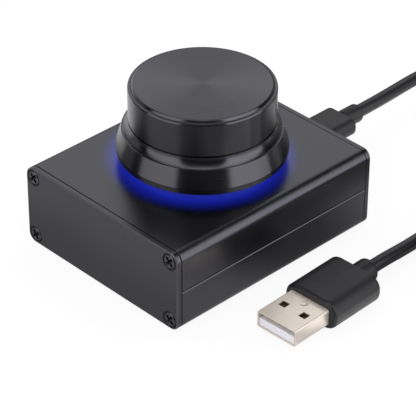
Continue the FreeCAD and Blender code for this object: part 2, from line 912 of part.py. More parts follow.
def all_parts():
    tube = case_tube()
    return {
        "upper_shell": upper_shell(tube),
        "lower_shell": lower_shell(tube),
        "front_end_plate": end_plate(-1),
        "rear_end_plate": rear_end_plate(),
        "front_plate_screws": plate_screws(-1),
        "rear_plate_screws": plate_screws(1),
        "anti_slip_pad": anti_slip_pad(),
        "encoder_frame": encoder_frame(),
        "encoder_housing": encoder_housing(),
        "encoder_shaft": encoder_shaft(),
        "encoder_rotor": encoder_rotor(),
        "switch_plunger": switch_plunger(),
        "switch_dome": switch_dome(),
        "encoder_terminals": encoder_terminals(),
        "bush_washer": bush_washer(),
        "bush_nut": bush_nut(),
        "blue_leds": blue_leds(),
        "led_leads": led_leads(),
        "light_ring": light_ring(),
        "knob": knob(),
        "knob_hub": knob_hub(),
        "circuit_board": circuit_board(),
        "controller_chip": controller_chip(),
        "controller_leads": controller_leads(),
        "crystal": crystal(),
        "chip_resistors": row_of_chips(resistor_y),
        "chip_capacitors": row_of_chips(capacitor_y),
        "storage_capacitor": storage_capacitor(),
        "socket_shell": socket_shell(),
        "socket_tongue": socket_tongue(),
        "micro_plug_shell": micro_plug_shell(),
        "micro_plug_grip": micro_plug_grip(),
        "usb_plug_shell": usb_plug_shell(),
        "usb_plug_tongue": usb_plug_tongue(),
        "usb_plug_contacts": usb_plug_contacts(),
        "usb_plug_grip": usb_plug_grip(),
        "cord_to_case": cord_tube("cord_to_case", cord_to_case_route),
        "cord_coil": cord_coil(),
        "cord_to_computer": cord_tube("cord_to_computer", cord_to_computer_route),
        "cable_tie": cable_tie(),
    }


os.makedirs("parts", exist_ok=True)
for name, shape in all_parts().items():
    print(name, "solids", len(shape.Solids), "valid", shape.isValid(), "volume", round(shape.Volume, 2))
    shape.exportStep("parts/" + name + ".step")
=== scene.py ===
import math

import bmesh
import bpy
from mathutils import Matrix, Vector


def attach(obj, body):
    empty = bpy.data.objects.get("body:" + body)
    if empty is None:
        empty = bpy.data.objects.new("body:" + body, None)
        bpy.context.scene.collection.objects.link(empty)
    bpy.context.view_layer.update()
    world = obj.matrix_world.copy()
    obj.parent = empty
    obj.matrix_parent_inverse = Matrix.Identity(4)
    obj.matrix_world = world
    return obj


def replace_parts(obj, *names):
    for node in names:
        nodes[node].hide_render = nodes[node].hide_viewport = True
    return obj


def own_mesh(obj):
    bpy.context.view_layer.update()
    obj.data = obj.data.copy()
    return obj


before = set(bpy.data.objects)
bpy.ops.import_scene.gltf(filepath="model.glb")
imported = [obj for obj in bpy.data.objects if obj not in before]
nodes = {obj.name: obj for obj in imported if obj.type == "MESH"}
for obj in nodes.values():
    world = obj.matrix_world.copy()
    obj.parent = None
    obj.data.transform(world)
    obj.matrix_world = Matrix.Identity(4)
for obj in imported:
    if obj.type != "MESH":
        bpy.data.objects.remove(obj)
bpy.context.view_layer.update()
mm = 0.001
knobAxis = Vector((0, 1, 0)) * mm
print("frame loaded")


# Helpers

def linear(hexText):
    # sRGB hex to linear RGBA
    shades = [int(hexText[i:i + 2], 16) / 255 for i in (1, 3, 5)]
    return [s / 12.92 if s <= 0.04045 else ((s + 0.055) / 1.055) ** 2.4 for s in shades] + [1]


def perMetre(size):
    # texture scale for a pattern with one cell every so many millimetres
    return 1 / (size * mm)


def addNode(tree, kind, inputs=None, into=None, **settings):
    # inputs are values, or sockets of other nodes, by name or number; into is the socket that it feeds
    node = tree.nodes.new(kind)
    for name, value in settings.items():
        setattr(node, name, value)
    for name, value in (inputs or {}).items():
        if isinstance(value, bpy.types.NodeSocket):
            tree.links.new(value, node.inputs[name])
        else:
            node.inputs[name].default_value = value
    if into:
        tree.links.new(next(socket for socket in node.outputs if socket.enabled), into)
    return node


def newMaterial(name, colour, roughness, **more):
    # one Principled shader, whose other sockets are in more, and the place that its patterns read
    material = bpy.data.materials.new(name)
    material.use_nodes = True
    tree = material.node_tree
    shader = tree.nodes["Principled BSDF"]
    shader.inputs["Base Color"].default_value = linear(colour)
    shader.inputs["Roughness"].default_value = roughness
    for socket, value in more.items():
        shader.inputs[socket.replace("_", " ")].default_value = value
    place = addNode(tree, "ShaderNodeTexCoord").outputs["Object"]
    return material, tree, shader.inputs, place


def patterned(tree, shader, value, colours=None, glows=None, roughness=None, depth=None):
    # a pattern of 0 to 1 moves the surface between two colours, glows or roughnesses, or down and up
    for pair, socket in ((colours, "Base Color"), (glows, "Emission Color")):
        if pair:
            addNode(tree, "ShaderNodeMix", {"Factor": value, 6: linear(pair[0]), 7: linear(pair[1])},
                    into=shader[socket], data_type="RGBA")
    if roughness:
        addNode(tree, "ShaderNodeMapRange", {"Value": value, "To Min": roughness[0], "To Max": roughness[1]},
                into=shader["Roughness"])
    if depth:
        addNode(tree, "ShaderNodeBump", {"Height": value, "Distance": depth * mm}, into=shader["Normal"])


def mottled(tree, shader, place, size, detail=2, **moved):
    # a cloudy pattern with spots of a size in millimetres, which moves what is given as patterned does
    noise = addNode(tree, "ShaderNodeTexNoise", {"Vector": place, "Scale": perMetre(size), "Detail": detail})
    patterned(tree, shader, noise.outputs[0], **moved)
    return noise.outputs[0]


def newObject(name, data):
    made = bpy.data.objects.new(name, data)
    bpy.context.scene.collection.objects.link(made)
    return made


def evaluatedMesh(thing):
    # a plain mesh of what an object's modifiers make
    return bpy.data.meshes.new_from_object(thing.evaluated_get(bpy.context.evaluated_depsgraph_get()))


def dress(material, *names):
    for name in names:
        mesh = nodes[name].data
        mesh.materials.clear()
        mesh.materials.append(material)


def addPiece(name, mesh, body, material=None, smooth=True):
    piece = newObject(name, mesh)
    if material:
        mesh.materials.clear()
        mesh.materials.append(material)
    if smooth and hasattr(mesh, "polygons"):
        mesh.polygons.foreach_set("use_smooth", [True] * len(mesh.polygons))
    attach(piece, body)
    return piece


def fromTree(name, tree, values, source=None):
    # runs a tree on a mesh and gives the plain mesh that comes out
    holder = newObject(name, source or bpy.data.meshes.new(name))
    modifier = holder.modifiers.new(tree.name, "NODES")
    modifier.node_group = tree
    for item in tree.interface.items_tree:
        if item.item_type == "SOCKET" and item.in_out == "INPUT" and item.name in values:
            modifier[item.identifier] = values[item.name]
    mesh = evaluatedMesh(holder)
    bpy.data.objects.remove(holder)
    mesh.name = name
    return mesh


def newTree(name, sockets):
    # an empty tree with geometry in and out, and the named inputs
    tree = bpy.data.node_groups.new(name, "GeometryNodeTree")
    tree.interface.new_socket(name="Geometry", in_out="INPUT", socket_type="NodeSocketGeometry")
    tree.interface.new_socket(name="Geometry", in_out="OUTPUT", socket_type="NodeSocketGeometry")
    for socket, kind in sockets.items():
        tree.interface.new_socket(name=socket, in_out="INPUT", socket_type="NodeSocket" + kind)
    return tree, addNode(tree, "NodeGroupInput").outputs


def endTree(tree, geometry, material):
    # what comes out is real geometry with its material
    solid = addNode(tree, "GeometryNodeRealizeInstances", {"Geometry": geometry})
    painted = addNode(tree, "GeometryNodeSetMaterial", {"Geometry": solid.outputs[0], "Material": material})
    addNode(tree, "NodeGroupOutput", {"Geometry": painted.outputs[0]})


# Camera

camera = {
    "azimuth": 45.88,  # degrees round the box, and above the desk
    "elevation": 34.44,
    "roll": 0.3,
    "distance": 571.5,
    "target": (3.11, 0, 8.99),
    "lens": 199.0,
    "sensor": 36.0,
}


def addCamera():
    turn = math.radians(camera["azimuth"])
    rise = math.radians(camera["elevation"])
    back = Vector((math.sin(turn) * math.cos(rise), -math.cos(turn) * math.cos(rise), math.sin(rise)))
    right = Vector((math.cos(turn), math.sin(turn), 0))
    across = Matrix.Rotation(math.radians(camera["roll"]), 3, back) @ right
    data = bpy.data.cameras.new("camera")
    data.lens = camera["lens"]
    data.sensor_width = camera["sensor"]
    data.clip_start = 0.01
    seat = newObject("camera", data)
    up = back.cross(across)
    place = Vector(camera["target"]) * mm + back * camera["distance"] * mm
    seat.matrix_world = Matrix.Translation(place) @ Matrix((across, up, back)).transposed().to_4x4()
    bpy.context.scene.camera = seat
    return back


towardCamera = addCamera()
print("camera set")


# Vinyl of the cord and the plug grips: flexible PVC, nearly black, with a soft sheen over a fine matt grain

vinyl = {
    "jacket": ("satinPvcJacket", "#1b1b20", 0.38),
    "grip": ("mattPvcGrip", "#1b1b20", 0.44),
    "grain": 0.35,
    "grainDepth": 0.01,
    "cloud": 4.0,
    "glossier": 0.06,  # how far its roughness varies in clouds, down and up
    "duller": 0.08,
}


def vinylFinish(name, colour, roughness):
    material, tree, shader, place = newMaterial(name, colour, roughness, IOR=1.53)
    # the grain is some five times coarser than the spark-eroded mould's, so that it shows
    mottled(tree, shader, place, vinyl["grain"], 3, depth=vinyl["grainDepth"])
    mottled(tree, shader, place, vinyl["cloud"],
            roughness=(roughness - vinyl["glossier"], roughness + vinyl["duller"]))
    return material


# Cord

cordSizes = {
    "length": 0.98,  # metres; all else is in millimetres
    "diameter": 3.5,
    "coilMiddle": (66.8, 53.0),
    "coilTurns": 7,
    "turnPitch": 3.6,
    "innerTurn": 12.4,
    "pointsPerTurn": 20,
    "upperLayer": 6.1,  # heights of the two layers, and the turns between which the cord drops
    "lowerLayer": 2.55,
    "layerChange": (3.65, 3.25),
}
# middle of the cord from the case's plug to the coil, and from there to the computer's plug
cordToCase = [
    (0.2, 57.4, 11.05), (0.2, 63.2, 11.05), (-0.6, 72.0, 10.6), (-1.75, 81.6, 10.0), (-2.3, 91.5, 9.1),
    (2.6, 101.6, 6.7), (14.2, 107.2, 4.0), (25.6, 107.6, 2.6), (35.7, 102.4, 1.95), (41.6, 92.9, 1.95),
    (42.7, 82.2, 2.7), (42.0, 72.4, 4.6), (41.6, 62.8, 5.75),
]
cordToComputer = [
    (41.75, 41.5, 2.0), (42.75, 29.2, 2.8), (43.44, 20.74, 3.9), (43.62, 15.74, 3.9),
]


def coilPoints():
    # wound inwards on the upper layer, then outwards on the lower one
    c = cordSizes
    turns = c["coilTurns"]
    high, low = c["layerChange"]
    middleX, middleY = c["coilMiddle"]
    points = []
    for step in range(turns * c["pointsPerTurn"] + 1):
        turn = turns - step / c["pointsPerTurn"]
        radius = c["innerTurn"] + c["turnPitch"] * abs(turn - turns / 2)
        lift = min(1, max(0, (turn - low) / (high - low)))
        z = c["lowerLayer"] + (c["upperLayer"] - c["lowerLayer"]) * lift
        angle = math.pi - 2 * math.pi * turn
        points.append((middleX + radius * math.cos(angle), middleY + radius * math.sin(angle), z))
    return points


def addCord():
    points = cordToCase + coilPoints() + cordToComputer
    curve = bpy.data.curves.new("usbCord", "CURVE")
    curve.dimensions = "3D"
    curve.bevel_depth = cordSizes["diameter"] / 2 * mm
    curve.bevel_resolution = 6
    curve.resolution_u = 5
    curve.use_fill_caps = True
    spline = curve.splines.new("NURBS")
    spline.points.add(len(points) - 1)
    for point, place in zip(spline.points, points):
        point.co = (*(Vector(place) * mm), 1)
    spline.order_u = 3
    spline.use_endpoint_u = True
    cord = addPiece("usbCord", curve, "cable", vinylFinish(*vinyl["jacket"]))
    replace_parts(cord, "cord_to_case", "cord_coil", "cord_to_computer")
    return cord, points


usbCord, cordPoints = addCord()
print("cord laid")


# Case: bead-blasted black anodised aluminium, a dark grey mirror blurred by its fine matt grain

# a painted glow: blue light painted on the upper shell round the knob
paintedHalo = {
    "lit": 18.4,  # millimetres from its middle: full light, and where it has faded out
    "faded": 25.3,
    "shift": (-0.5, -0.1),  # its middle from the knob's axis, as the lamps aren't quite even
    "strength": 0.4,
    "colour": "#2434e6",
}


def knobRadius(tree, place, shift=(0, 0)):
    # distance from the knob's axis, in metres
    axis = knobAxis + Vector((*shift, 0)) * mm
    middle = addNode(tree, "ShaderNodeVectorMath", {0: place, 1: axis}, operation="SUBTRACT")
    flat = addNode(tree, "ShaderNodeVectorMath", {0: middle.outputs[0], 1: (1, 1, 0)}, operation="MULTIPLY")
    length = addNode(tree, "ShaderNodeVectorMath", {0: flat.outputs[0]}, operation="LENGTH")
    return length.outputs["Value"], flat.outputs[0]


caseJoints = {
    "plate": -31.5,  # where the front plate meets the extrusion, and where its halves meet
    "halves": 11.74,
    "width": 0.24,
}


def lineAt(tree, value, place, width, fade=0.08):
    # 1 along a line at a place in millimetres, and 0 beyond its width
    away = addNode(tree, "ShaderNodeMath", {0: value, 1: place * mm}, operation="SUBTRACT")
    size = addNode(tree, "ShaderNodeMath", {0: away.outputs[0]}, operation="ABSOLUTE")
    return addNode(tree, "ShaderNodeMapRange",
                   {"Value": size.outputs[0], "From Min": (width / 2 + fade) * mm,
                    "From Max": width / 2 * mm}).outputs[0]


screwSeats = {
    "places": (24.3, 3.1, 19.9),  # to each side of the middle, and heights above the desk
    "radius": 2.06,  # of the painted shade ring round a head, and how wide it is
    "width": 0.4,
}


def paintedSeatShade(tree, along):
    # 1 round the four heads, where painted shade stands for the dark gap of their countersinks, which are
    # wider than they are
    side, low, high = screwSeats["places"]
    spot = addNode(tree, "ShaderNodeCombineXYZ")
    for axis, middle, reach in (("X", 0, side), ("Z", (low + high) / 2, (high - low) / 2)):
        offset = addNode(tree, "ShaderNodeMath", {0: along[axis], 1: middle * mm}, operation="SUBTRACT")
        size = addNode(tree, "ShaderNodeMath", {0: offset.outputs[0]}, operation="ABSOLUTE")
        addNode(tree, "ShaderNodeMath", {0: size.outputs[0], 1: reach * mm}, operation="SUBTRACT",
                into=spot.inputs[axis])
    away = addNode(tree, "ShaderNodeVectorMath", {0: spot.outputs[0]}, operation="LENGTH")
    return lineAt(tree, away.outputs["Value"], screwSeats["radius"], screwSeats["width"])


anodise = {
    "colour": "#58585d",
    "darker": "#55555a",  # it varies in clouds between these two
    "paler": "#5c5c62",
    # the dark of the joints, and on the plates also the painted shade round the screw heads
    "seam": "#1c1c1e",
    "roughness": (0.3, 0.24, 0.34),  # usual, least and most
    "cloud": 9.0,
    "blast": 0.15,  # size and depth of the grain that the beads leave
    "blastDepth": 0.004,
    "sawnMetal": 0.3,  # how much of a mirror a sawn edge is
}


def anodisedCase(name, extruded=True):
    a = anodise
    usual, least, most = a["roughness"]
    material, tree, shader, place = newMaterial(name, a["colour"], usual, Metallic=1.0)
    mottled(tree, shader, place, a["blast"], depth=a["blastDepth"])
    cloud = mottled(tree, shader, place, a["cloud"], 3, roughness=(least, most))
    oxide = addNode(tree, "ShaderNodeMix", {"Factor": cloud, 6: linear(a["darker"]), 7: linear(a["paler"])},
                    data_type="RGBA")
    # no light gets out of the joints
    along = addNode(tree, "ShaderNodeSeparateXYZ", {0: place}).outputs
    plate = lineAt(tree, along["Y"], caseJoints["plate"], caseJoints["width"])
    if extruded:
        other = lineAt(tree, along["Z"], caseJoints["halves"], caseJoints["width"])
    else:
        # on a plate, painted shade in a ring round each screw head, where its countersink's gap would be dark
        other = paintedSeatShade(tree, along)
    gap = addNode(tree, "ShaderNodeMath", {0: plate, 1: other}, operation="MAXIMUM")
    addNode(tree, "ShaderNodeMix", {"Factor": gap.outputs[0], 6: oxide.outputs[2], 7: linear(a["seam"])},
            into=shader["Base Color"], data_type="RGBA")
    if not extruded:
        # the oxide on a plate's sawn edges is thin and dull, so that they don't mirror the dark room
        surface = addNode(tree, "ShaderNodeNewGeometry").outputs
        facing = addNode(tree, "ShaderNodeSeparateXYZ", {0: surface["Normal"]})
        lean = addNode(tree, "ShaderNodeMath", {0: facing.outputs["Y"]}, operation="ABSOLUTE")
        edge = addNode(tree, "ShaderNodeMath", {0: lean.outputs[0], 1: math.sqrt(0.5), 2: 0.2},
                       operation="COMPARE")
        addNode(tree, "ShaderNodeMapRange",
                {"Value": edge.outputs[0], "To Min": 1.0, "To Max": a["sawnMetal"]},
                into=shader["Metallic"])
    return material, tree, shader, place


def paintedHaloCase():
    # the upper shell, with a blue glow painted on it round the knob, which stands in for the ring's light
    # scattering in the oxide
    material, tree, shader, place = anodisedCase("extrudedAnodisePaintedHalo")
    radius, _ = knobRadius(tree, place, paintedHalo["shift"])
    fade = addNode(tree, "ShaderNodeMapRange",
                   {"Value": radius, "From Min": paintedHalo["faded"] * mm, "From Max": paintedHalo["lit"] * mm},
                   interpolation_type="SMOOTHSTEP")
    shader["Emission Color"].default_value = linear(paintedHalo["colour"])
    addNode(tree, "ShaderNodeMath", {0: fade.outputs[0], 1: paintedHalo["strength"]}, operation="MULTIPLY",
            into=shader["Emission Strength"])
    return material


dress(anodisedCase("plateAnodise", extruded=False)[0], "front_end_plate", "rear_end_plate")
dress(anodisedCase("extrudedAnodise")[0], "lower_shell")
dress(paintedHaloCase(), "upper_shell")
print("case dressed")


# Knob: turned from bar and black anodised, so fine rings run round it and spread its highlights sideways

knobSizes = {
    "bottom": 25.15,
    "height": 18.5,
    "topRadius": 17.0,
    "topRound": 0.42,
    "chamferWidth": 0.48,
    "chamferHeight": 0.55,
    "ledgeWidth": 0.64,
    "ledgeCut": 0.1,
    "ledgeFall": 0.16,
    "rimDrop": 0.5,
    "rimRound": 0.04,
    "wallRadius": 18.25,
    "grooveHeight": 9.0,
    "grooveWidth": 0.4,
    "grooveDepth": 0.3,
    "ridgeRadius": 19.6,
    "ridgeHeight": 6.3,
    "ridgeWidth": 0.32,
    "ridgeFall": 0.02,
    "skirtRadius": 21.35,
    "bandHeight": 1.4,
    "bandStep": 0.1,
    "footChamfer": 0.15,
    "cavityRadius": 16.0,
    "cavityDepth": 5.2,
    "boreRadius": 5.0,
    "boreDepth": 11.02,
    "edgeRadius": 0.12,
    "flareSteps": 10,
    "segments": 192,
}
spun = {
    "colour": "#5c5c61",
    "roughness": 0.26,
    # painted shade for the groove, where its hollow would be dark
    "paintedGrooveShade": "#2a2a2c",
    "stretch": 0.95,  # how far the rings spread a highlight across themselves
    "feed": 0.25,
    "markDepth": 0.0007,
    "spread": 0.03,  # how far its roughness varies
}


def softened(points, usual, steps=4, straight=8, beside=0.1, most=0.4):
    # rounds each corner of an open outline, by its own third value or as usual, but no bend of a few degrees,
    # and by no more than most of a side; a point close beside each round lets flats shade flat
    corners = [Vector(p[:2]) for p in points]
    made = [corners[0]]
    for before, corner, after, point in zip(corners, corners[1:], corners[2:], points[1:]):
        radius = point[2] if len(point) > 2 else usual
        back, ahead = before - corner, after - corner
        turn = math.pi - back.angle(ahead)
        if turn < math.radians(straight):
            made.append(corner)
            continue
        reach = min(radius * math.tan(turn / 2), back.length * most, ahead.length * most)
        back.normalize()
        ahead.normalize()
        start, end = corner + back * reach, corner + ahead * reach
        made.append(start + back * min(reach, beside))
        for step in range(steps + 1):
            share = step / steps
            made.append(start * (1 - share) ** 2 + corner * 2 * share * (1 - share) + end * share ** 2)
        made.append(end + ahead * min(reach, beside))
    return made + [corners[-1]]


def knobOutline():
    s = knobSizes
    top = s["bottom"] + s["height"]
    grooveTop = s["bottom"] + s["grooveHeight"]
    grooveBottom = grooveTop - s["grooveWidth"]
    grooveRadius = s["wallRadius"] - s["grooveDepth"]
    ridgeTop = s["bottom"] + s["ridgeHeight"]
    bandTop = s["bottom"] + s["bandHeight"]
    bandRadius = s["skirtRadius"] - s["bandStep"]
    ceiling = s["bottom"] + s["cavityDepth"]
    boreTop = ceiling + s["boreDepth"]
    # a chamfer, a fine cut at its foot, a flat ledge and a round shoulder
    ledge = top - s["chamferHeight"]
    foot = s["topRadius"] + s["chamferWidth"]
    shoulder = foot + s["ledgeWidth"]
    fine = s["rimRound"]
    upper = [(0, top), (s["topRadius"], top, s["topRound"]), (foot, ledge - s["ledgeCut"], fine),
             (foot + s["ledgeCut"] / 2, ledge, fine), (shoulder, ledge - s["ledgeFall"], fine),
             (s["wallRadius"], ledge - s["rimDrop"]), (s["wallRadius"], grooveTop),
             (grooveRadius, grooveTop), (grooveRadius, grooveBottom), (s["wallRadius"], grooveBottom)]
    # the flare is an arc that starts upright under the groove
    width = s["ridgeRadius"] - s["wallRadius"]
    fall = grooveBottom - ridgeTop
    bend = (width ** 2 + fall ** 2) / (2 * width)
    flare = []
    for step in range(1, s["flareSteps"] + 1):
        down = fall * step / s["flareSteps"]
        flare.append((s["wallRadius"] + bend - math.sqrt(bend ** 2 - down ** 2), grooveBottom - down))
    lower = [(s["ridgeRadius"] + s["ridgeWidth"], ridgeTop - s["ridgeFall"]),
             (s["skirtRadius"], bandTop + s["bandStep"]), (bandRadius, bandTop),
             (bandRadius, s["bottom"] + s["footChamfer"]),
             (bandRadius - s["footChamfer"], s["bottom"]), (s["cavityRadius"], s["bottom"]),
             (s["cavityRadius"], ceiling), (s["boreRadius"], ceiling), (s["boreRadius"], boreTop),
             (0, boreTop)]
    return softened(upper + flare + lower, s["edgeRadius"])


def turningTree():
    # turns an outline, drawn as edges in X and Y, about the Z axis
    tree, given = newTree("turning", {"Segments": "Int", "Lathe Radius": "Float", "Axis": "Vector",
                                      "Material": "Material"})
    line = addNode(tree, "GeometryNodeMeshToCurve", {"Mesh": given["Geometry"]})
    circle = addNode(tree, "GeometryNodeCurvePrimitiveCircle",
                     {"Resolution": given["Segments"], "Radius": given["Lathe Radius"]})
    level = addNode(tree, "GeometryNodeSetCurveNormal", {"Curve": circle.outputs[0]}, mode="Z_UP")
    swept = addNode(tree, "GeometryNodeCurveToMesh",
                    {"Curve": level.outputs[0], "Profile Curve": line.outputs[0]})
    closed = addNode(tree, "GeometryNodeMergeByDistance",
                     {"Geometry": swept.outputs[0], "Distance": 0.002 * mm})
    placed = addNode(tree, "GeometryNodeTransform",
                     {"Geometry": closed.outputs[0], "Translation": given["Axis"]})
    endTree(tree, placed.outputs[0], given["Material"])
    return tree


def lineMesh(name, points):
    mesh = bpy.data.meshes.new(name)
    mesh.from_pydata(points, [(i, i + 1) for i in range(len(points) - 1)], [])
    return mesh


def outwards(mesh, merge=0):
    # points closer together than merge become one, then all faces point outwards
    work = bmesh.new()
    work.from_mesh(mesh)
    if merge:
        bmesh.ops.remove_doubles(work, verts=work.verts, dist=merge * mm)
    bmesh.ops.recalc_face_normals(work, faces=work.faces)
    work.to_mesh(mesh)
    work.free()


def flatShading(mesh):
    # big flat faces keep their own direction beside small round edges
    holder = newObject("shading", mesh)
    mesh.polygons.foreach_set("use_smooth", [True] * len(mesh.polygons))
    weighted = holder.modifiers.new("weights", "WEIGHTED_NORMAL")
    weighted.weight = 100
    made = evaluatedMesh(holder)
    bpy.data.objects.remove(holder)
    return made


def spunFinish():
    s = spun
    material, tree, shader, place = newMaterial(
        "turnedBlackAnodise", s["colour"], s["roughness"], Metallic=1.0, Anisotropic=s["stretch"],
        Anisotropic_Rotation=0.25)
    radius, flat = knobRadius(tree, place)
    height = addNode(tree, "ShaderNodeSeparateXYZ", {0: place}).outputs["Z"]
    rings = addNode(tree, "ShaderNodeCombineXYZ", {0: radius, 1: height})
    # turning marks, coarser than the real 0.05 mm feed so that they show
    marks = addNode(tree, "ShaderNodeTexNoise",
                    {"Vector": rings.outputs[0], "Scale": perMetre(s["feed"]), "Detail": 3},
                    noise_dimensions="2D")
    patterned(tree, shader, marks.outputs[0],
              roughness=(s["roughness"] - s["spread"], s["roughness"] + s["spread"]), depth=s["markDepth"])
    # painted shade along the groove, where its hollow would be dark
    grooveMiddle = knobSizes["bottom"] + knobSizes["grooveHeight"] - knobSizes["grooveWidth"] / 2
    groove = lineAt(tree, height, grooveMiddle, knobSizes["grooveWidth"])
    patterned(tree, shader, groove, colours=(s["colour"], s["paintedGrooveShade"]))
    # the marks run round the axis
    around = addNode(tree, "ShaderNodeVectorMath", {0: (0, 0, 1), 1: flat}, operation="CROSS_PRODUCT")
    world = addNode(tree, "ShaderNodeVectorTransform", {0: around.outputs[0]}, vector_type="VECTOR",
                    convert_from="OBJECT", convert_to="WORLD")
    addNode(tree, "ShaderNodeVectorMath", {0: world.outputs[0]}, operation="NORMALIZE",
            into=shader["Tangent"])
    return material


def turned(name, outline, segments, material):
    # an outline of radius and height, turned about the knob's axis
    latheRadius = 30
    points = [((p[0] - latheRadius) * mm, -p[1] * mm, 0) for p in outline]
    mesh = fromTree(name, turningTree(), {
        "Segments": segments, "Lathe Radius": latheRadius * mm, "Axis": knobAxis[:],
        "Material": material}, lineMesh(name + "Line", points))
    outwards(mesh)
    return flatShading(mesh)


def addKnob():
    mesh = turned("knobBody", knobOutline(), knobSizes["segments"], spunFinish())
    knob = addPiece("knobBody", mesh, "knob")
    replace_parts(knob, "knob")


addKnob()
print("knob turned")


# Light ring: frosted acrylic that glows blue all through from the lamps under it

ring = {
    "colour": "#10184a",
    "glows": ("#1924a0", "#1d2bb4"),  # it glows in clouds between these two
    "strength": 0.62,
    "haze": 3.0,
    "frost": 0.3,
    "frostDepth": 0.01,
    "lampGlows": ("#2440d8", "#5a78ff"),
    "lampStrength": 0.5,
    "lampSwirl": 2.0,
}


def glowingAcrylic():
    material, tree, shader, place = newMaterial("frostedAcrylicLit", ring["colour"], 0.42, IOR=1.49)
    mottled(tree, shader, place, ring["frost"], depth=ring["frostDepth"])
    mottled(tree, shader, place, ring["haze"], glows=ring["glows"])
    shader["Emission Strength"].default_value = ring["strength"]
    return material


def lampEpoxy():
    # clear blue epoxy, lit unevenly by the chip inside it
    material, tree, shader, place = newMaterial("tintedLampEpoxy", "#3350e0", 0.12, IOR=1.55,
                                                Transmission_Weight=0.4)
    mottled(tree, shader, place, ring["lampSwirl"], 1, glows=ring["lampGlows"])
    shader["Emission Strength"].default_value = ring["lampStrength"]
    return material


dress(glowingAcrylic(), "light_ring")
dress(lampEpoxy(), "blue_leds")
print("ring lit")


# Plated, drawn and turned metals: each mirrors in its own shade, broken up by the fine marks of its working

metals = {
    # name: colour, how much of a mirror it is, roughness, how far that varies, mark size along X, Y and Z,
    # depth of the marks
    "satinNickelPlate": ("#f4e9dd", 0.5, 0.3, 0.05, (0.4, 3.0, 0.4), 0.0004),
    "plainNickelPlate": ("#c8c4ba", 1.0, 0.26, 0.08, (0.3, 0.3, 0.3), 0.001),
    "frostedTin": ("#cfd0cd", 1.0, 0.38, 0.1, (0.5, 0.5, 0.5), 0.002),
    "drawnAluminium": ("#d6d7da", 1.0, 0.22, 0.06, (0.15, 0.15, 6.0), 0.001),
    "turnedAluminium": ("#c3c4c6", 1.0, 0.24, 0.06, (8.0, 8.0, 0.12), 0.002),
    "goldFlash": ("#d8aa52", 1.0, 0.22, 0.05, (0.2, 2.0, 0.2), 0.0006),
    "springSteel": ("#b9bab8", 1.0, 0.24, 0.06, (0.2, 4.0, 0.2), 0.001),
    "blackOxideSteel": ("#626266", 1.0, 0.34, 0.08, (0.3, 0.3, 0.3), 0.003),
}
stain = {"size": 3.0, "shade": 0.9}  # patches a little darker than the rest


def metalFinish(name):
    colour, metallic, roughness, spread, marks, depth = metals[name]
    material, tree, shader, place = newMaterial(name, colour, roughness, Metallic=metallic)
    # most of these marks are drawn a few times coarser than they are, so that they show
    scaled = addNode(tree, "ShaderNodeVectorMath", {0: place, 1: [perMetre(size) for size in marks]},
                     operation="MULTIPLY")
    lines = addNode(tree, "ShaderNodeTexNoise", {"Vector": scaled.outputs[0], "Scale": 1, "Detail": 3})
    patches = addNode(tree, "ShaderNodeTexNoise",
                      {"Vector": place, "Scale": perMetre(stain["size"]), "Detail": 2})
    patterned(tree, shader, lines.outputs[0], roughness=(roughness - spread, roughness + spread), depth=depth)
    dull = [channel * stain["shade"] for channel in linear(colour)[:3]] + [1]
    addNode(tree, "ShaderNodeMix", {"Factor": patches.outputs[0], 6: linear(colour), 7: dull},
            into=shader["Base Color"], data_type="RGBA")
    return material


dress(metalFinish("satinNickelPlate"), "usb_plug_shell", "micro_plug_shell")
dress(metalFinish("plainNickelPlate"), "bush_nut", "bush_washer", "encoder_frame", "socket_shell")
dress(metalFinish("frostedTin"), "encoder_terminals", "led_leads", "controller_leads")
dress(metalFinish("drawnAluminium"), "storage_capacitor", "crystal")
dress(metalFinish("turnedAluminium"), "encoder_shaft", "knob_hub")
print("metals dressed")


# Snap dome: a thin spring steel cap under the plunger, which flattens when the knob is pressed; here it is
# turned at rest, at its full height

dome = {
    "radius": 2.8,
    "bottom": 14.7,
    "height": 1.23,
    "thickness": 0.12,
    "steps": 12,
    "segments": 64,
    "pressed": 0.345,  # share of its height that is left at full press
}


def addDome():
    d = dome
    ball = (d["radius"] ** 2 + d["height"] ** 2) / (2 * d["height"])
    middle = d["bottom"] + d["height"] - ball
    outline = []
    for size, steps in ((ball, range(d["steps"] + 1)), (ball - d["thickness"], range(d["steps"], -1, -1))):
        foot = math.acos((d["bottom"] - middle) / size)
        for step in steps:
            angle = foot * step / d["steps"]
            outline.append((size * math.sin(angle), middle + size * math.cos(angle)))
    mesh = turned("snapDome", outline, d["segments"], metalFinish("springSteel"))
    piece = addPiece("snapDome", mesh, "case")
    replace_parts(piece, "switch_dome")
    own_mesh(piece)


addDome()
print("dome set")


# Moulded plastics: each has the fine spark-eroded grain of its mould, which makes its gloss a soft sheen

plastics = {
    # name: colour, its second shade, roughness, grain size, grain depth, refractive index
    "glassFilledNylon": ("#17171a", "#1e1e21", 0.5, 0.25, 0.006, 1.53),
    "blackEpoxy": ("#1b1b1d", "#232325", 0.6, 0.12, 0.004, 1.55),
    "whiteLiquidCrystalPolymer": ("#fbfaff", "#f5f4fb", 0.36, 0.3, 0.003, 1.55),
    "acetal": ("#e6e4dc", "#dedbd2", 0.34, 0.4, 0.003, 1.48),
}
flow = {"size": 5.0, "spread": 0.06}  # streaks of the second shade, and how far the grain varies the gloss


def plasticFinish(name):
    colour, second, roughness, size, depth, ior = plastics[name]
    material, tree, shader, place = newMaterial(name, colour, roughness, IOR=ior)
    mottled(tree, shader, place, flow["size"], colours=(colour, second))
    mottled(tree, shader, place, size, roughness=(roughness - flow["spread"], roughness + flow["spread"]),
            depth=depth)
    return material


dress(plasticFinish("glassFilledNylon"), "encoder_housing", "socket_tongue")
dress(plasticFinish("blackEpoxy"), "controller_chip", "chip_resistors")
dress(plasticFinish("acetal"), "encoder_rotor", "switch_plunger")
print("plastics dressed")


# Board, its ceramic parts, and the pad under the case

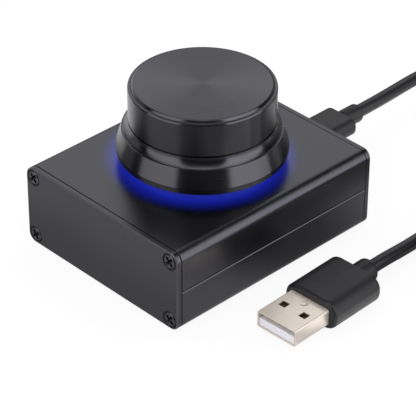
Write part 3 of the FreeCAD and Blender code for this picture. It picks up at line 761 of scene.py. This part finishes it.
board = {
    "lacquer": ("#0b3d22", "#1c6b3e"),  # over bare laminate, and over copper
    "trackSpacing": 1.27,
    "trackDepth": 0.03,
    "speckle": 0.2,  # of the fired ceramic
    "foamCell": 0.5,
    "foamPit": 0.15,
}


def solderMask():
    # glossy green lacquer, paler where copper tracks run under it and stand proud
    material, tree, shader, place = newMaterial("solderMaskOnLaminate", "#0c4326", 0.28, IOR=1.52)
    tracks = addNode(tree, "ShaderNodeTexBrick",
                     {"Vector": place, "Scale": perMetre(board["trackSpacing"]), "Color1": (0, 0, 0, 1),
                      "Color2": (0.2, 0.2, 0.2, 1), "Mortar": (1, 1, 1, 1), "Mortar Size": 0.09,
                      "Mortar Smooth": 0.2, "Brick Width": 3.0, "Row Height": 1.0})
    patterned(tree, shader, tracks.outputs[0], colours=board["lacquer"], depth=board["trackDepth"])
    return material


def tinnedCeramic():
    # sand-coloured fired ceramic with a speckle
    material, tree, shader, place = newMaterial("firedCeramic", "#8d6d49", 0.45, IOR=1.6)
    mottled(tree, shader, place, board["speckle"], 3, colours=("#7d5f3d", "#a58459"), roughness=(0.38, 0.52))
    return material


def closedFoam():
    # closed-cell neoprene: dead black with open pits where cells were cut
    material, tree, shader, place = newMaterial("neopreneFoam", "#1d1d1e", 0.92, IOR=1.5)
    cells = addNode(tree, "ShaderNodeTexVoronoi", {"Vector": place, "Scale": perMetre(board["foamCell"])})
    patterned(tree, shader, cells.outputs["Distance"], colours=("#121213", "#262628"), depth=board["foamPit"])
    return material


dress(solderMask(), "circuit_board")
dress(tinnedCeramic(), "chip_capacitors")
dress(closedFoam(), "anti_slip_pad")
print("board dressed")


# End plate screws: countersunk heads in black oxide, each stopped at its own angle

screws = {
    "headRadius": 1.86,
    "headRound": 0.2,
    "headDepth": 0.9,
    "shankRadius": 1.08,
    "length": 8.0,
    "crossLength": 2.9,
    "crossWidth": 0.76,
    "crossDepth": 1.2,
    "crossTaper": 0.35,
    "crossStart": 0.05,  # how far above the head its cutter starts
    "faces": {"front": -33.0, "rear": 33.0},
    "turns": (38, 45, 52, 47),
    "segments": 48,
}


def screwMesh():
    # stands on Z with its head at the top, at zero
    s = screws
    outline = [(s["headRadius"] - s["headRound"], 0), (s["headRadius"], -s["headRound"]),
               (s["shankRadius"], -s["headDepth"]), (s["shankRadius"], -s["length"])]
    head = bmesh.new()
    rows = []
    for radius, z in outline:
        rows.append([head.verts.new((radius * math.cos(2 * math.pi * k / s["segments"]) * mm,
                                     radius * math.sin(2 * math.pi * k / s["segments"]) * mm, z * mm))
                     for k in range(s["segments"])])
    for upper, lower in zip(rows, rows[1:]):
        for k in range(s["segments"]):
            after = (k + 1) % s["segments"]
            head.faces.new((upper[k], lower[k], lower[after], upper[after]))
    head.faces.new(rows[0])
    head.faces.new(rows[-1][::-1])
    mesh = bpy.data.meshes.new("screwHead")
    head.to_mesh(mesh)
    head.free()
    cross = bmesh.new()
    for turn in (0, 90):
        made = bmesh.ops.create_cube(cross, size=1)["verts"]
        for vert in made:
            deep = vert.co.z < 0
            vert.co.x *= s["crossLength"] * (s["crossTaper"] if deep else 1) * mm
            vert.co.y *= s["crossWidth"] * mm
            vert.co.z = (-s["crossDepth"] if deep else s["crossStart"]) * mm
        bmesh.ops.rotate(cross, verts=made, cent=(0, 0, 0),
                         matrix=Matrix.Rotation(math.radians(turn), 3, "Z"))
    cutMesh = bpy.data.meshes.new("crossCut")
    cross.to_mesh(cutMesh)
    cross.free()
    outwards(mesh)
    outwards(cutMesh)
    holder = newObject("screwHead", mesh)
    cutter = newObject("crossCut", cutMesh)
    cut = holder.modifiers.new("cross", "BOOLEAN")
    cut.object = cutter
    cut.operation = "DIFFERENCE"
    cut.solver = "EXACT"
    cut.use_self = True
    made = evaluatedMesh(holder)
    for thing in (holder, cutter):
        bpy.data.objects.remove(thing)
    return made


def copiesTree():
    # stands one piece on each point, tipped about X and turned by the point's own angle
    tree, given = newTree("copies", {"Piece": "Object", "Tip": "Float", "Material": "Material"})
    piece = addNode(tree, "GeometryNodeObjectInfo", {"Object": given["Piece"]})
    turn = addNode(tree, "GeometryNodeInputNamedAttribute", {"Name": "turn"}, data_type="FLOAT")
    spin = addNode(tree, "ShaderNodeCombineXYZ", {2: turn.outputs[0]})
    tip = addNode(tree, "ShaderNodeCombineXYZ", {0: given["Tip"]})
    stood = addNode(tree, "GeometryNodeInstanceOnPoints",
                    {"Points": given["Geometry"], "Instance": piece.outputs["Geometry"],
                     "Rotation": tip.outputs[0]})
    twisted = addNode(tree, "GeometryNodeRotateInstances",
                      {"Instances": stood.outputs[0], "Rotation": spin.outputs[0], "Local Space": True})
    endTree(tree, twisted.outputs[0], given["Material"])
    return tree


def addScrews():
    s = screws
    screw = newObject("screw", screwMesh())
    tree = copiesTree()
    material = metalFinish("blackOxideSteel")
    side, low, high = screwSeats["places"]
    for end, y in s["faces"].items():
        spots = bpy.data.meshes.new(end + "Spots")
        spots.from_pydata([(x * mm, y * mm, z * mm) for x in (-side, side) for z in (low, high)], [], [])
        turns = spots.attributes.new("turn", "FLOAT", "POINT")
        turns.data.foreach_set("value", [math.radians(turn) for turn in s["turns"]])
        name = end + "PlateScrews"
        mesh = fromTree(name, tree, {"Piece": screw, "Tip": math.radians(90 if y < 0 else -90),
                                     "Material": material}, spots)
        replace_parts(addPiece(name, mesh, "case", smooth=False), end + "_plate_screws")
    bpy.data.objects.remove(screw)


addScrews()
print("screws set")


# Pieces of the plugs: bars with rounded corners and ends

plugPlace = Matrix.Translation((44.2 * mm, 0, 3.9 * mm)) @ Matrix.Rotation(math.radians(2.1), 4, "Z")
microGrip = {
    "middle": (0.2, 11.05),  # X and Z
    "from": 33.8,
    "length": 17.8,
    "size": (10.6, 4.9, 2.1),  # width, height, corner radius
    "endRound": 0.8,
    "neckRadius": 2.52,
    "neckFrom": 51.1,
    "neckTo": 57.4,
}
tongue = {
    "width": 11.36,
    "low": -1.93,
    "high": 0.25,
    "from": -17.75,
    "to": -2.25,
    "corner": 0.25,
    "endRound": 0.12,
    "contacts": (-3.5, -1.0, 1.0, 3.5),
    "contactSize": (1.0, 0.12, 8.0),
    "contactFrom": -16.2,
    "contactPad": 0.11,  # how far each stands proud
    "white": 3.2,  # how far from its tip it stays white, before the painted shade
    # the painted shade's colour further in, and how far it takes to set in
    "innerShade": "#a3835f",
    "innerShadeFade": 0.6,
}


def roundedBar(name, size, ends, middle, endRound, cornerSteps=6, leastRadius=0.02):
    # a bar along Y; size is its width, height and corner radius, middle its X and Z
    width, height, corner = size
    start, end = ends
    stations = []
    for step in range(cornerSteps + 1):
        angle = math.pi / 2 * step / cornerSteps
        stations.append((start + endRound * (1 - math.sin(angle)), endRound * (1 - math.cos(angle))))
    stations = stations[::-1] + [(start + end - y, inset) for y, inset in stations]
    loops = []
    for y, inset in stations:
        radius = max(corner - inset, leastRadius)
        loop = []
        for quarter, (sideX, sideZ) in enumerate(((1, 1), (-1, 1), (-1, -1), (1, -1))):
            for step in range(cornerSteps + 1):
                angle = math.pi / 2 * (quarter + step / cornerSteps)
                x = middle[0] + sideX * (width / 2 - inset - radius) + radius * math.cos(angle)
                z = middle[1] + sideZ * (height / 2 - inset - radius) + radius * math.sin(angle)
                loop.append((x * mm, y * mm, z * mm))
        loops.append(loop)
    count = len(loops[0])
    last = (len(loops) - 1) * count
    faces = [list(range(count)), list(range(last, last + count))]
    for low in range(0, last, count):
        for k in range(count):
            after = (k + 1) % count
            faces.append((low + k, low + after, low + count + after, low + count + k))
    mesh = bpy.data.meshes.new(name)
    mesh.from_pydata([place for loop in loops for place in loop], [], faces)
    outwards(mesh, merge=0.001)
    return mesh


def joined(name, *meshes):
    work = bmesh.new()
    for mesh in meshes:
        work.from_mesh(mesh)
    made = bpy.data.meshes.new(name)
    work.to_mesh(made)
    work.free()
    return made


def tongueFinish():
    # white at its tip, and further in, where the shell's windows show it, dark and warm-tinted: painted shade
    # for the unlit interior of the shell
    material = plasticFinish("whiteLiquidCrystalPolymer")
    tree = material.node_tree
    colour = tree.nodes["Principled BSDF"].inputs["Base Color"]
    # painted shade: darker further in, where the shell's interior gets no light
    shadeStart = (plugPlace @ Vector((0, (tongue["from"] + tongue["white"]) * mm, 0))).y
    along = addNode(tree, "ShaderNodeSeparateXYZ", {0: tree.nodes["Texture Coordinate"].outputs["Object"]})
    inside = addNode(tree, "ShaderNodeMapRange",
                     {"Value": along.outputs["Y"], "From Min": shadeStart,
                      "From Max": shadeStart + tongue["innerShadeFade"] * mm})
    addNode(tree, "ShaderNodeMix",
            {"Factor": inside.outputs[0], 6: colour.links[0].from_socket, 7: linear(tongue["innerShade"])},
            into=colour, data_type="RGBA")
    return material


def addPlugPieces():
    g = microGrip
    body = roundedBar("gripBody", g["size"], (g["from"], g["from"] + g["length"]), g["middle"], g["endRound"])
    # its corners are a hair smaller than its radius, so that they stay apart
    neckSize = (2 * g["neckRadius"], 2 * g["neckRadius"], g["neckRadius"] - 0.001)
    neck = roundedBar("gripNeck", neckSize, (g["neckFrom"], g["neckTo"]), g["middle"], g["endRound"])
    mesh = flatShading(joined("microGrip", body, neck))
    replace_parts(addPiece("microGrip", mesh, "cable", gripVinyl), "micro_plug_grip")

    s = tongue
    size = (s["width"], s["high"] - s["low"], s["corner"])
    mesh = roundedBar("plugTongue", size, (s["from"], s["to"]), (0, (s["high"] + s["low"]) / 2),
                      s["endRound"])
    mesh.transform(plugPlace)
    piece = addPiece("plugTongue", flatShading(mesh), "cable", tongueFinish())
    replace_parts(piece, "usb_plug_tongue")

    width, thickness, length = s["contactSize"]
    bar = newObject("contact", roundedBar("contact", (width, thickness, thickness / 3), (0, length), (0, 0),
                                          thickness / 3))
    spots = bpy.data.meshes.new("contactSpots")
    height = s["high"] - thickness / 2 + s["contactPad"]
    spots.from_pydata([(x * mm, s["contactFrom"] * mm, height * mm) for x in s["contacts"]], [], [])
    mesh = fromTree("plugContacts", copiesTree(), {"Piece": bar, "Material": metalFinish("goldFlash")}, spots)
    bpy.data.objects.remove(bar)
    mesh.transform(plugPlace)
    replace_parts(addPiece("plugContacts", mesh, "cable", smooth=False), "usb_plug_contacts")


gripVinyl = vinylFinish(*vinyl["grip"])
dress(gripVinyl, "usb_plug_grip")
addPlugPieces()
print("plug pieces moulded")


# Strap round the coil: matt woven nylon, whose cords give it a soft diagonal pattern

strap = {
    "inner": 76.55,  # middle of its thickness, on both sides of the turns
    "outer": 91.92,
    "low": 0.4,
    "high": 8.25,
    "thickness": 0.8,
    "width": 6.0,
    "y": 53.0,
    "corner": 2.2,
    "edgeRound": 0.3,
    "weave": 0.5,  # spacing of the cords, and how deep the gaps between them are drawn
    "weaveDepth": 0.12,
}


def strapTree():
    tree, given = newTree("strap", {"Width": "Float", "Height": "Float", "Corner": "Float", "Band": "Float",
                                    "Thickness": "Float", "Edge": "Float", "Middle": "Vector",
                                    "Material": "Material"})
    loop = addNode(tree, "GeometryNodeCurvePrimitiveQuadrilateral",
                   {"Width": given["Width"], "Height": given["Height"]})
    rounded = addNode(tree, "GeometryNodeFilletCurve",
                      {"Curve": loop.outputs[0], "Radius": given["Corner"], "Count": 8}, mode="POLY")
    upright = addNode(tree, "GeometryNodeTransform",
                      {"Geometry": rounded.outputs[0], "Rotation": (math.radians(90), 0, 0)})
    level = addNode(tree, "GeometryNodeSetCurveNormal", {"Curve": upright.outputs[0]}, mode="MINIMUM_TWIST")
    section = addNode(tree, "GeometryNodeCurvePrimitiveQuadrilateral",
                      {"Width": given["Band"], "Height": given["Thickness"]})
    soft = addNode(tree, "GeometryNodeFilletCurve",
                   {"Curve": section.outputs[0], "Radius": given["Edge"], "Count": 3}, mode="POLY")
    band = addNode(tree, "GeometryNodeCurveToMesh",
                   {"Curve": level.outputs[0], "Profile Curve": soft.outputs[0]})
    placed = addNode(tree, "GeometryNodeTransform",
                     {"Geometry": band.outputs[0], "Translation": given["Middle"]})
    endTree(tree, placed.outputs[0], given["Material"])
    return tree


def wovenNylon():
    # a wave texture repeats every 2 pi / 20 of its own unit; these bands come some six times wider than the
    # real cords, so that they show
    material, tree, shader, place = newMaterial("wovenNylonStrap", "#17171a", 0.75, IOR=1.53,
                                                Sheen_Weight=0.2)
    waves = [addNode(tree, "ShaderNodeTexWave",
                     {"Vector": place, "Scale": perMetre(strap["weave"]) / 20, "Distortion": 0.5},
                     bands_direction=direction).outputs[0] for direction in ("Y", "DIAGONAL")]
    weave = addNode(tree, "ShaderNodeMath", {0: waves[0], 1: waves[1]}, operation="MULTIPLY")
    patterned(tree, shader, weave.outputs[0], colours=("#0e0e10", "#2a2a2e"), depth=strap["weaveDepth"])
    return material


def addStrap():
    s = strap
    middle = ((s["inner"] + s["outer"]) / 2, s["y"], (s["low"] + s["high"]) / 2)
    mesh = fromTree("coilStrap", strapTree(), {
        "Width": (s["outer"] - s["inner"]) * mm, "Height": (s["high"] - s["low"]) * mm,
        "Corner": s["corner"] * mm, "Band": s["width"] * mm, "Thickness": s["thickness"] * mm,
        "Edge": s["edgeRound"] * mm, "Middle": [c * mm for c in middle], "Material": wovenNylon()})
    outwards(mesh)
    strapPiece = addPiece("coilStrap", mesh, "cable", smooth=False)
    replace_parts(strapPiece, "cable_tie")


addStrap()
print("strap round the coil")


# Stage: white paper on a table in a dark room, with a lit wall behind and soft boxes on both sides

studio = {
    "floorSize": 6.0,  # metres
    "floorColour": "#f4f4f4",
    "floorGlow": 0.88,  # share of its white that doesn't depend on the light, and how bright that is
    "floorWhite": 1.03,
    "floorDrop": 0.02,  # under the pad, so that the two never share a plane
    "fill": 1.0,  # even light on everything that isn't a mirror
    "nearShade": 0.55,  # how bright metal sees the floor close to the case
    "farShade": (0.25, 1.2),  # and further out, straight in front and behind
    "shadeFrom": (24, 172),  # degrees off the line to the camera
    "nearReach": (48, 62),  # where the near shade gives way to the far one
    "floorReach": (84, 92),  # further out, metal sees the lights past the table's edge
    "cards": {
        # each: X and Y on the table, how far it reaches each way, how much further it fades, brightness, and
        # how near a mirror must be to show it
        "blackCard": (44, 14, 10, 10, 3.0, 0.18, 90),
        "plateCard": (-25, -66, 34, 10, 2.4, 0.66, 52),
        "frontCard": (-6, -36, 36, 4, 3.0, 0.43, 90),
        "plugCard": (54.5, -28, 4, 11, 1.4, 1.5, 24),
        "gripCard": (57.5, 6, 5, 13, 1.5, 1.4, 24),
    },
    "room": 0.018,  # what a mirror sees of the dark room
    "lights": {
        # each: middle in degrees from the camera to the viewer's right, then degrees to its left and right
        # edge and how far each edge fades, lowest and highest angle and how far those fade, brightness
        "leftBox": (-60, 23, 25, 2, 6, -10, 66, 4, 1.26),
        "rightBox": (68, 29, 24, 8, 3, -10, 66, 4, 1.7),
        "litWall": (180, 28, 32, 16, 12, 20, 47, 12, 0.96),
        "highStrip": (180, 8, 8, 6, 6, 50, 56, 3, 0.8),
        "topBox": (0, 60, 60, 20, 20, 68, 90, 4, 1.8),
        "leftWall": (-113, 14, 12, 6, 6, -5, 25, 8, 0.42),
        "rightTable": (95, 22, 22, 10, 10, -60, -12, 4, 0.85),
        "farTable": (0, 180, 180, 1, 1, -60, -14, 4, 0.26),
        "leftDoor": (-145, 18, 20, 8, 8, -40, 8, 10, 1.1),
        "rightDoor": (130, 28, 28, 8, 8, -40, 8, 10, 0.2),
    },
}


def aroundFrom(tree, direction, middle):
    # angle round the vertical from a middle, to the viewer's right
    flat = Vector((towardCamera.x, towardCamera.y, 0)).normalized()
    ahead = Matrix.Rotation(math.radians(middle), 3, "Z") @ flat
    side = Vector((0, 0, 1)).cross(ahead)
    along = addNode(tree, "ShaderNodeVectorMath", {0: direction, 1: ahead[:]}, operation="DOT_PRODUCT")
    across = addNode(tree, "ShaderNodeVectorMath", {0: direction, 1: side[:]}, operation="DOT_PRODUCT")
    turn = addNode(tree, "ShaderNodeMath", {0: across.outputs["Value"], 1: along.outputs["Value"]},
                   operation="ARCTAN2")
    return turn.outputs[0]


def lightBand(tree, angle, low, high, lowFade, highFade):
    # 1 between two angles in degrees, fading to 0 outside them
    rise, fall = [addNode(tree, "ShaderNodeMapRange",
                          {"Value": angle, "From Min": math.radians(dark), "From Max": math.radians(lit)},
                          interpolation_type="SMOOTHSTEP").outputs[0]
                  for dark, lit in ((low - lowFade, low), (high + highFade, high))]
    return addNode(tree, "ShaderNodeMath", {0: rise, 1: fall}, operation="MULTIPLY").outputs[0]


def addFloor():
    half = studio["floorSize"] / 2
    mesh = bpy.data.meshes.new("floor")
    mesh.from_pydata([(-half, -half, 0), (half, -half, 0), (half, half, 0), (-half, half, 0)], [],
                     [(0, 1, 2, 3)])
    floor = newObject("floor", mesh)
    material, tree, shader, place = newMaterial("whitePaper", studio["floorColour"], 0.9)
    rays = addNode(tree, "ShaderNodeLightPath").outputs
    turn = addNode(tree, "ShaderNodeMath", {0: aroundFrom(tree, place, 0)}, operation="ABSOLUTE")
    near, far = studio["shadeFrom"]
    dark, bright = studio["farShade"]
    shade = addNode(tree, "ShaderNodeMapRange",
                    {"Value": turn.outputs[0], "From Min": math.radians(near), "From Max": math.radians(far),
                     "To Min": dark, "To Max": bright}, interpolation_type="SMOOTHSTEP")
    radius = addNode(tree, "ShaderNodeVectorMath", {0: place}, operation="LENGTH").outputs["Value"]
    nearEnd, farStart = studio["nearReach"]
    out = addNode(tree, "ShaderNodeMapRange",
                  {"Value": radius, "From Min": nearEnd * mm, "From Max": farStart * mm},
                  interpolation_type="SMOOTHSTEP")
    level = addNode(tree, "ShaderNodeMix",
                    {0: out.outputs[0], 2: studio["nearShade"], 3: shade.outputs[0]}).outputs[0]
    for x, y, wide, deep, fade, brightness, nearest in studio["cards"].values():
        across = addNode(tree, "ShaderNodeVectorMath", {0: place, 1: (x * mm, y * mm, 0)},
                         operation="SUBTRACT")
        scaled = addNode(tree, "ShaderNodeVectorMath", {0: across.outputs[0], 1: (wide * mm, deep * mm, 1)},
                         operation="DIVIDE")
        away = addNode(tree, "ShaderNodeVectorMath", {0: scaled.outputs[0]}, operation="LENGTH")
        card = addNode(tree, "ShaderNodeMapRange",
                       {"Value": away.outputs["Value"], "From Min": fade, "From Max": 1},
                       interpolation_type="SMOOTHSTEP")
        close = addNode(tree, "ShaderNodeMath", {0: rays["Ray Length"], 1: nearest * mm},
                        operation="LESS_THAN")
        shown = addNode(tree, "ShaderNodeMath", {0: card.outputs[0], 1: close.outputs[0]},
                        operation="MULTIPLY")
        level = addNode(tree, "ShaderNodeMix", {0: shown.outputs[0], 2: level, 3: brightness}).outputs[0]
    onTable = addNode(tree, "ShaderNodeEmission", {"Color": (1, 1, 1, 1), "Strength": level})
    edge, beyond = studio["floorReach"]
    past = addNode(tree, "ShaderNodeMapRange",
                   {"Value": radius, "From Min": edge * mm, "From Max": beyond * mm})
    through = addNode(tree, "ShaderNodeBsdfTransparent")
    mirrored = addNode(tree, "ShaderNodeMixShader",
                       {0: past.outputs[0], 1: onTable.outputs[0], 2: through.outputs[0]})
    white = addNode(tree, "ShaderNodeEmission", {"Color": (1, 1, 1, 1), "Strength": studio["floorWhite"]})
    seen = addNode(tree, "ShaderNodeMath", {0: rays["Is Camera Ray"], 1: rays["Is Transmission Ray"]},
                   operation="MAXIMUM")
    share = addNode(tree, "ShaderNodeMath", {0: seen.outputs[0], 1: studio["floorGlow"]},
                    operation="MULTIPLY")
    paper = tree.nodes["Principled BSDF"].outputs[0]
    straight = addNode(tree, "ShaderNodeMixShader", {0: share.outputs[0], 1: paper, 2: white.outputs[0]})
    addNode(tree, "ShaderNodeMixShader",
            {0: rays["Is Glossy Ray"], 1: straight.outputs[0], 2: mirrored.outputs[0]},
            into=tree.nodes["Material Output"].inputs["Surface"])
    mesh.materials.append(material)
    floor.location.z = -studio["floorDrop"] * mm


def addWorld():
    world = bpy.data.worlds.new("studio")
    bpy.context.scene.world = world
    world.use_nodes = True
    tree = world.node_tree
    ground = tree.nodes["Background"]
    ground.inputs["Color"].default_value = (1, 1, 1, 1)
    direction = addNode(tree, "ShaderNodeTexCoord").outputs["Generated"]
    upward = addNode(tree, "ShaderNodeSeparateXYZ", {0: direction}).outputs["Z"]
    height = addNode(tree, "ShaderNodeMath", {0: upward}, operation="ARCSINE").outputs[0]
    level = addNode(tree, "ShaderNodeValue").outputs[0]
    level.default_value = studio["room"]
    for middle, left, right, leftFade, rightFade, low, high, fade, strength in studio["lights"].values():
        across = lightBand(tree, aroundFrom(tree, direction, middle), -left, right, leftFade, rightFade)
        tall = lightBand(tree, height, low, high, fade, fade)
        shape = addNode(tree, "ShaderNodeMath", {0: across, 1: tall}, operation="MULTIPLY")
        lit = addNode(tree, "ShaderNodeMath", {0: shape.outputs[0], 1: strength}, operation="MULTIPLY")
        level = addNode(tree, "ShaderNodeMath", {0: level, 1: lit.outputs[0]}, operation="MAXIMUM").outputs[0]
    rays = addNode(tree, "ShaderNodeLightPath").outputs
    mirror = addNode(tree, "ShaderNodeMix", {0: rays["Is Glossy Ray"], 2: studio["fill"], 3: level})
    addNode(tree, "ShaderNodeMath", {0: rays["Is Camera Ray"], 1: mirror.outputs[0]}, operation="MAXIMUM",
            into=ground.inputs["Strength"])


addFloor()
addWorld()
bpy.context.scene.view_settings.view_transform = "Standard"
print("stage set")
